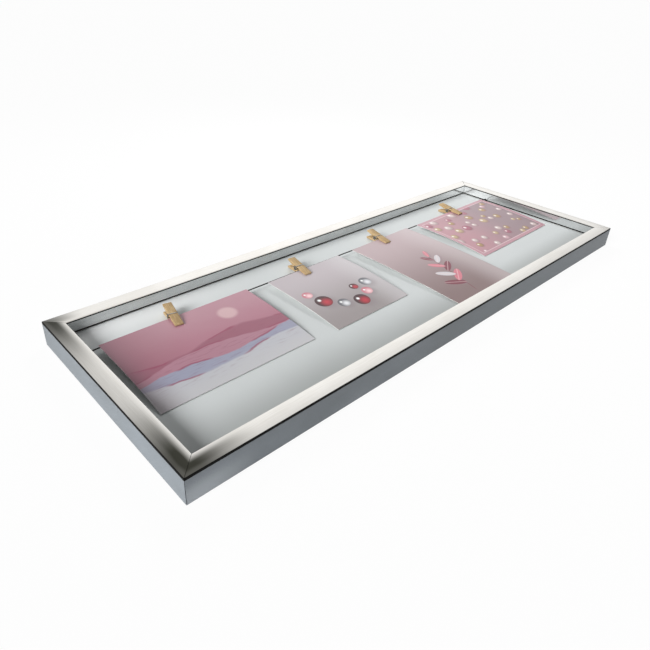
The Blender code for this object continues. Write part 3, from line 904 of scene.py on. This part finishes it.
# %% [markdown]
# ## The peg springs
# A steel wire lies in the front lever's groove, goes down one side, winds five turns through
# the two big notches and ends in the back lever's groove. It could be a Screw modifier on a
# circle, but the arms must join the coil without a kink, so one curve follows the whole wire.
# When the peg opens, the upper arm turns with the front lever.

# %% Wire of one spring
WIRE_RADIUS = 0.45 * MM
COIL_RADIUS = 1.75 * MM
COIL_HALF = 4.8 * MM
COIL_TURNS = 5
ARM_CORNER = 0.9 * MM
ARM_END = 3.2 * MM
CURL_POINTS = 20
CORNER_STEPS = 6

arm_reach = math.hypot(ARM_DISTANCE, arm_height)
contact = math.atan2(arm_height, ARM_DISTANCE) - math.acos(COIL_RADIUS / arm_reach)
sweep = COIL_TURNS * math.tau + 2 * contact
curls = round(sweep / math.tau * CURL_POINTS)
corner = Vector((-COIL_HALF, -ARM_DISTANCE, arm_height))
leaving = Vector((-COIL_HALF, -COIL_RADIUS * math.cos(contact), COIL_RADIUS * math.sin(contact)))
down = (leaving - corner).normalized()
sideways = Vector((1, 0, 0))
upper_arm = [Vector((ARM_END, -ARM_DISTANCE, arm_height)), Vector((0, -ARM_DISTANCE, arm_height))]
for step in range(CORNER_STEPS + 1):
    t = step / CORNER_STEPS
    upper_arm.append(corner + ARM_CORNER * ((1 - t) ** 2 * sideways + t ** 2 * down))
coil = []
for index in range(curls + 1):
    angle = contact - sweep * index / curls
    across = -COIL_HALF + 2 * COIL_HALF * index / curls
    coil.append(Vector((across, -COIL_RADIUS * math.cos(angle), COIL_RADIUS * math.sin(angle))))
lower_arm = [Vector((-point.x, point.y, -point.z)) for point in reversed(upper_arm)]
spring = tube("spring_pattern", [upper_arm + coil + lower_arm], WIRE_RADIUS, 2)
print("faces of a spring:", len(spring.data.polygons))

# %% Steel, and a spring in each peg
def steel(name, pale, deep):
    material, shader, place = begin(name, {"Metallic": 1.0})
    scuffs = noise(place, (700, 700, 700), 4.0, 0.6)
    clouds = noise(place, (90, 90, 90), 2.0)
    colour = mixed(rise(scuffs * 0.6 + clouds * 0.4, 0.3, 0.7), deep, pale)
    dressed(shader, colour, 0.26 + scuffs * 0.22)
    bumped(shader, scuffs, 0.15, 0.03 * MM)
    return material

spring.data.materials.append(steel("spring_steel", shade(204, 203, 200), shade(150, 149, 147)))
for number, (place_x, turned) in PEGS.items():
    centre = Vector((place_x * MM, COIL_Y, JAW_Z))
    piece = set_down(copied(spring, f"wire_spring_{number}"), centre, turned)
    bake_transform(piece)
    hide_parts(f"peg_{number}_spring")
bpy.data.objects.remove(spring)
print("springs placed:", len(PEGS))

# %% [markdown]
# ## The prints
# A print is a stiff sheet of photo paper, held by its upper edge, that sinks a little towards
# the board. It could be a bent plane, but the bend starts only below the peg, so a strip is
# made flat and its lower edge is extruded in short steps that follow the droop.

# %% Extrude the sheets
PRINT_THICKNESS = 0.26 * MM
PRINT_FLAT = 18 * MM
PRINT_STEPS = 14
ACROSS_STEPS = 12
# middle along the cord, turn in degrees, width, height, upper edge over the cord, droop, in mm
PRINTS = {
    1: (-210.5, -0.2, 150, 100, 1.8, 5.3),
    2: (-60.5, 0.4, 100, 100, -1.2, 5.3),
    3: (62, 1.4, 100, 150, 0.2, 5.4),
    4: (205.2, 1.0, 150, 100, 0.4, 5.3),
}

def paper_sheet(name, width, height, droop):
    leave_all()
    bpy.ops.mesh.primitive_grid_add(x_subdivisions=ACROSS_STEPS, y_subdivisions=2, size=1)
    piece = named(name)
    for vertex in piece.data.vertices:
        vertex.co = (vertex.co.x * width, (vertex.co.y - 0.5) * PRINT_FLAT, 0)
    edit(piece)
    length = height - PRINT_FLAT
    for step in range(PRINT_STEPS):
        reached = PRINT_FLAT + length * step / PRINT_STEPS
        pick_edges(piece, lambda a, b: max(a.y, b.y) < -reached + CLOSE)
        fall = droop * (((step + 1) / PRINT_STEPS) ** 2 - (step / PRINT_STEPS) ** 2)
        way = (0, -length / PRINT_STEPS, -fall)
        bpy.ops.mesh.extrude_edges_move(TRANSFORM_OT_translate={"value": way})
    return done(piece)

sheets = {}
for number, (x, turned, width, height, over_cord, droop) in PRINTS.items():
    piece = paper_sheet(f"print_{number}", width * MM, height * MM, droop * MM)
    if piece.data.polygons[0].normal.z < 0:
        piece.data.flip_normals()
    modified(piece, "SOLIDIFY", thickness=PRINT_THICKNESS, offset=0)
    for polygon in piece.data.polygons:
        polygon.material_index = 0 if polygon.normal.z > 0.5 else 1
    smoothed(piece, 30)
    sheets[number] = set_down(piece, (x * MM, CORD_Y + over_cord * MM, JAW_Z), turned)
    belongs(piece, f"peg_{number}", "photo_paper", f"photo_print_{number}")
print("prints:", {number: len(piece.data.polygons) for number, piece in sheets.items()})

# %% [markdown]
# ## Pictures on the prints
# The pictures are generic designs in the colours of a pink photo set: dunes at dusk, glass
# marbles, a leafy sprig and sugar pearls. They could be image files, but a picture drawn with
# nodes stays sharp and needs no file. A Mapping node gives millimetres from the middle of each
# print's upper edge, and every shape is a soft threshold on a distance.

# %% Tools for drawing a picture
def paper_front(name, number):
    """Give a print its front and return the shader and the place on the picture in mm."""
    x, turned, _, _, over_cord, _ = PRINTS[number]
    material, shader, place = begin(name, {"Coat Weight": 0.15, "Coat Roughness": 0.2})
    sheets[number].data.materials.append(material)
    inputs = {
        "Vector": place,
        "Location": (x * MM, CORD_Y + over_cord * MM, 0),
        "Rotation": (0, 0, math.radians(turned)),
        "Scale": (MM, MM, 1),
    }
    return shader, place.node("ShaderNodeMapping", {"vector_type": "TEXTURE"}, inputs)

def away(at, x, y):
    return distance(at, (x, y, 0))

def disc(at, x, y, radius, soft=0.4):
    return rise(away(at, x, y), radius + soft, radius - soft)

def oval(at, x, y, degrees, length, width):
    inputs = {"Vector": at, "Location": (x, y, 0), "Rotation": (0, 0, math.radians(degrees))}
    inputs["Scale"] = (length / 2, width / 2, 1)
    local = at.node("ShaderNodeMapping", {"vector_type": "TEXTURE"}, inputs)
    return rise(away(local, 0, 0), 1.04, 0.92), local

def printed(shader, colour, at):
    gloss = noise(at, (0.05, 0.05, 0.05), 2.0)
    dressed(shader, colour, 0.24 + gloss * 0.14)

print("drawing tools ready")

# %% Print 1, dunes at dusk
# crest, its swing, its pace and where it starts, softness of its edge, colour
DUNES = [
    (-50, 4.5, 0.050, 0.4, 1.6, shade(146, 84, 103)),
    (-60, 5.0, 0.036, 2.1, 0.9, shade(168, 118, 134)),
    (-70, 3.6, 0.055, 4.0, 0.6, shade(150, 152, 172)),
    (-79, 3.4, 0.042, 5.3, 1.2, shade(186, 187, 193)),
]

shader, at = paper_front("picture_dusk", 1)
u, v, _ = axes(at)
haze = noise(at, (0.03, 0.06, 0.05), 3.0)
ripples = noise(at, (0.07, 0.5, 0.1), 3.0)
colour = mixed(rise(v + haze * 20, 10, -50), shade(178, 132, 144), shade(168, 109, 126))
colour = mixed(rise(u, -5, -75) * 0.6, colour, shade(128, 70, 86))
colour = mixed(disc(at, 36, -24, 9, 2.4) * 0.6, colour, shade(220, 190, 190))
for level, swing, pace, start, soft, tint in DUNES:
    crest = level + swing * u.math("SINE", u * pace + start) + haze * 8 - 4
    below = v - crest
    sand = mixed(rise(ripples, 0.5, 0.75) * 0.35, tint, shade(120, 60, 84))
    colour = mixed(rise(below, soft, -soft), colour, sand)
    line = rise(abs(below), 1.4, 0.3)
    line = line * rise(u.math("SINE", u * 0.09 + start), -0.1, 0.6)
    colour = mixed(line * 0.75, colour, shade(138, 46, 80))
colour = mixed(rise(v + haze * 12, -72, -90), colour, shade(192, 192, 195))
# painted shade: the print's left side is darkened, as in the shadow of the left rail
colour = mixed(rise(u, -44, -82) * 0.5, colour, shade(98, 62, 74))
printed(shader, colour, at)
print("print 1:", len(DUNES), "dunes")

# %% Print 2, glass marbles
RED = (shade(52, 6, 16), shade(182, 28, 50))
SILVER = (shade(96, 96, 102), shade(232, 232, 236))
PINK = (shade(196, 118, 130), shade(246, 208, 212))
# middle, radius, colours
MARBLES = [
    (-30, -60, 9.0, RED), (-15, -73, 6.5, SILVER), (4, -79, 8.5, RED), (20, -71, 6.0, PINK),
    (31, -58, 7.0, SILVER), (-36, -43, 5.5, PINK), (14, -58, 5.0, RED),
]

shader, at = paper_front("picture_marbles", 2)
u, v, _ = axes(at)
colour = mixed(rise(v, -10, -95), shade(183, 174, 178), shade(150, 142, 142))
colour = mixed(rise(u, 12, 48) * 0.7, colour, shade(199, 195, 197))
for x, y, r, (deep, pale) in MARBLES:
    cast = disc(at, x + 0.35 * r, y - 0.5 * r, r, 0.6 * r)
    colour = mixed(cast * 0.35, colour, shade(120, 104, 112))
    glass = mixed(disc(at, x + 0.2 * r, y - 0.3 * r, 0.55 * r, 0.5 * r), deep, pale)
    glint = disc(at, x - 0.32 * r, y + 0.36 * r, 0.2 * r, 0.1 * r)
    colour = mixed(disc(at, x, y, r, 0.25), colour, mixed(glint, glass, WHITE))
printed(shader, colour, at)
print("print 2:", len(MARBLES), "marbles")

# %% Print 3, a leafy sprig
BURGUNDY = shade(112, 26, 50)
ROSE = shade(206, 116, 130)
PALE = shade(206, 200, 204)
# middle, turn in degrees, length, width, colour
LEAVES = [
    (-17, -118, 150, 26, 9, BURGUNDY), (-1, -110, 40, 25, 9, ROSE), (-11, -101, 142, 23, 8, PALE),
    (6, -92, 36, 23, 8, BURGUNDY), (-4, -84, 136, 20, 7, ROSE), (10, -75, 40, 19, 7, PALE),
    (0, -68, 125, 16, 6, BURGUNDY), (9, -60, 62, 15, 5, ROSE),
]

shader, at = paper_front("picture_sprig", 3)
u, v, _ = axes(at)
colour = mixed(rise(v, -5, -140), shade(180, 160, 163), shade(124, 101, 100))
colour = mixed(rise(u, 5, 48) * 0.6, colour, shade(198, 186, 187))
stem = rise(abs(u - (v * 0.22 + 20)), 0.9, 0.4)
stem = stem * rise(v, -60, -66) * rise(v, -142, -136)
colour = mixed(stem, colour, shade(120, 70, 76))
for x, y, degrees, length, width, tint in LEAVES:
    cast, _ = oval(at, x + 1.6, y - 1.8, degrees, length, width)
    colour = mixed(cast * 0.3, colour, shade(132, 108, 118))
    leaf, local = oval(at, x, y, degrees, length, width)
    vein = rise(abs(axes(local)[1]), 0.16, 0.04)
    tinted = mixed(vein * 0.5, tint, shade(240, 214, 214))
    colour = mixed(leaf, colour, tinted)
printed(shader, colour, at)
print("print 3:", len(LEAVES), "leaves")

# %% [markdown]
# ### Scattered pearls
# Pearls could be listed one by one like the marbles, but there are many of them, so a Voronoi
# texture scatters them. Its N-Sphere Radius is half the way from a pearl to its nearest
# neighbour, which keeps each pearl inside its own room, so that none touches another.

# %% Print 4, sugar pearls
BORDER = 5.0
PEARL_SPACING = 19.0
PEARL_FILL = 0.82
SUGAR = [
    (0.0, shade(168, 138, 84)), (0.26, shade(206, 188, 186)), (0.5, shade(160, 80, 104)),
    (0.68, shade(188, 164, 124)), (0.84, shade(202, 166, 174)),
]

def nearest_pearl(at):
    """The place from the nearest pearl's middle, in its radii, and a lot for its colour."""
    inputs = {"Vector": at, "Scale": 1 / PEARL_SPACING, "Randomness": 0.75}
    cells = at.node("ShaderNodeTexVoronoi", {"voronoi_dimensions": "2D"}, inputs)
    free = {"voronoi_dimensions": "2D", "feature": "N_SPHERE_RADIUS"}
    room = at.node("ShaderNodeTexVoronoi", free, inputs, "Radius")
    lot, other_lot, _ = axes(cells.other("Color"))
    radius = room.math("MINIMUM", room * PEARL_FILL, 0.2 + other_lot * 0.2) * PEARL_SPACING
    both = {0: at, 1: cells.other("Position")}
    from_middle = at.node("ShaderNodeVectorMath", {"operation": "SUBTRACT"}, both)
    inputs = {0: from_middle, "Scale": 1 / radius}
    return at.node("ShaderNodeVectorMath", {"operation": "SCALE"}, inputs), lot

shader, at = paper_front("picture_pearls", 4)
u, v, _ = axes(at)
half_width, half_height = PRINTS[4][2] / 2, PRINTS[4][3] / 2
inside = u.math("MINIMUM", half_width - abs(u), half_height - abs(v + half_height))
colour = mixed(rise(u, -70, 40), shade(181, 133, 142), shade(142, 119, 125))
moved = at.node("ShaderNodeMapping", {}, {"Vector": at, "Location": (-1.0, 1.4, 0)})
cast, _ = nearest_pearl(moved)
colour = mixed(rise(away(cast, 0, 0), 1.2, 0.8) * 0.4, colour, shade(128, 92, 104))
pearl, lot = nearest_pearl(at)
tint = lot.node("ShaderNodeValToRGB", {"stops": SUGAR}, {0: lot})
tint.socket.node.color_ramp.interpolation = "CONSTANT"
ball = mixed(rise(away(pearl, -0.16, 0.2), 0.35, 1.15) * 0.6, tint, shade(120, 76, 84))
ball = mixed(rise(away(pearl, -0.3, 0.36), 0.42, 0.2) * 0.8, ball, shade(250, 244, 242))
colour = mixed(rise(away(pearl, 0, 0), 1.05, 0.95), colour, ball)
colour = mixed(rise(inside, BORDER + 0.3, BORDER - 0.3), colour, shade(184, 140, 150))
edge = rise(abs(inside - BORDER), 0.7, 0.3)
colour = mixed(edge, colour, shade(210, 184, 189))
printed(shader, colour, at)
print("print 4: a pearl about every", PEARL_SPACING, "mm")

# %% Plain backs of the prints
def paper_back():
    material, shader, place = begin("paper_back", {"Specular IOR Level": 0.25})
    pulp = noise(place, (700, 700, 700), 4.0)
    dressed(shader, mixed(pulp, shade(226, 224, 219), shade(240, 239, 236)), 0.6 + pulp * 0.2)
    return material

plain = paper_back()
for piece in sheets.values():
    piece.data.materials.append(plain)
print("slots of a print:", [m.name for m in sheets[1].data.materials])

# %% [markdown]
# ## Hangers and tacks on the back
# Two sawtooth hangers on the back of the board let the frame hang level on two nails. Each is
# a steel strip with teeth along its lower edge and a middle that stands off the board. It
# starts as a toothed outline; Bisect adds the fold lines, and the middle is then pushed out.
# A tack could be a turned profile, but a cylinder is enough: its rim is bevelled to a low dome,
# and the shank is inset and extruded from its flat side.

# %% Fold a hanger
HANGER_HALF = 22 * MM
HANGER_FOLD = 15 * MM
HANGER_MIDDLE = 12.5 * MM
HANGER_WIDTH = 11 * MM
HANGER_RISE = 2 * MM
HANGER_THICKNESS = 0.8 * MM
TEETH = 5
TOOTH_DEPTH = 2.2 * MM
HANGER_PLACE = Vector((150 * MM, 69.5 * MM, 6.9 * MM))

low, high = -HANGER_WIDTH / 2, HANGER_WIDTH / 2
tooth = 2 * HANGER_MIDDLE / TEETH
teeth = []
for index in range(TEETH):
    left = -HANGER_MIDDLE + index * tooth
    teeth += [(left, low), (left + tooth / 2, low + TOOTH_DEPTH)]
teeth.append((HANGER_MIDDLE, low))
corners = [(HANGER_HALF, low), (HANGER_HALF, high), (-HANGER_HALF, high), (-HANGER_HALF, low)]
strip = corners[-1:] + teeth + corners[:-1]
hanger = outline("hanger_pattern", [(x, y, 0) for x, y in strip])
edit(hanger)
for fold in (-HANGER_FOLD, -HANGER_MIDDLE, HANGER_MIDDLE, HANGER_FOLD):
    bpy.ops.mesh.select_all(action="SELECT")
    bpy.ops.mesh.bisect(plane_co=(fold, 0, 0), plane_no=(1, 0, 0))
pick_edges(hanger, lambda a, b: max(abs(a.x), abs(b.x)) < HANGER_MIDDLE + CLOSE)
bpy.ops.transform.translate(value=(0, 0, -HANGER_RISE))
done(hanger)
if hanger.data.polygons[0].normal.z < 0:
    hanger.data.flip_normals()
modified(hanger, "SOLIDIFY", thickness=HANGER_THICKNESS, offset=-1)
softened(hanger, 0.12 * MM, 2)
smoothed(hanger, 35)
print("faces of a hanger:", len(hanger.data.polygons))

# %% Turn a tack
TACK_RADIUS = 2.2 * MM
TACK_HEAD = 0.8 * MM
TACK_MIDDLE = -1.5 * MM
TACK_DOME = 0.6 * MM
SHANK_RADIUS = 0.8 * MM
SHANK_LENGTH = 2.4 * MM
POINT_LENGTH = 0.7 * MM
POINT_SHARE = 0.15

leave_all()
head_size = {"vertices": 28, "radius": TACK_RADIUS, "depth": TACK_HEAD}
bpy.ops.mesh.primitive_cylinder_add(location=(0, 0, TACK_MIDDLE), **head_size)
tack = named("tack_pattern")
bpy.ops.object.transform_apply(location=True)
edit(tack)
pick_edges(tack, lambda a, b: max(a.z, b.z) < TACK_MIDDLE - 3 * CLOSE and (a - b).length < MM)
bpy.ops.mesh.bevel(offset=TACK_DOME, segments=4, affect="EDGES")
bpy.ops.mesh.select_all(action="DESELECT")
bpy.ops.mesh.select_mode(type="FACE")
head = bmesh.from_edit_mesh(tack.data)
for face in head.faces:
    face.select_set(face.normal.z > 0.9)
bmesh.update_edit_mesh(tack.data)
bpy.ops.mesh.inset(thickness=TACK_RADIUS - SHANK_RADIUS)
for length in (SHANK_LENGTH, POINT_LENGTH):
    bpy.ops.mesh.extrude_region_move(TRANSFORM_OT_translate={"value": (0, 0, length)})
bpy.ops.transform.resize(value=(POINT_SHARE, POINT_SHARE, 1))
done(tack)
smoothed(tack, 35)
print("faces of a tack:", len(tack.data.polygons))

# %% Plate the steel and place the back hardware
plated = steel("plated_steel", shade(214, 208, 192), shade(158, 150, 130))
for pattern in (hanger, tack):
    pattern.data.materials.append(plated)
tack_number = 0
for side, sign in (("left", -1), ("right", 1)):
    centre = Vector((sign * HANGER_PLACE.x, HANGER_PLACE.y, HANGER_PLACE.z))
    piece = set_down(copied(hanger, f"sawtooth_strip_{side}"), centre)
    belongs(piece, "frame", "steel", f"sawtooth_hanger_{side}")
    for end in (-1, 1):
        tack_number += 1
        place = centre + Vector((end * (HANGER_HALF + HANGER_FOLD) / 2, 0, 0))
        piece = set_down(copied(tack, f"round_tack_{tack_number}"), place)
        belongs(piece, "frame", "steel", f"hanger_tack_{tack_number}")
bpy.data.objects.remove(hanger)
bpy.data.objects.remove(tack)
for name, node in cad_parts.items():
    if name.startswith(("board_point", "corner_nail")):
        node.data.materials.clear()
        node.data.materials.append(plated)
print("tacks placed:", tack_number)

# %% [markdown]
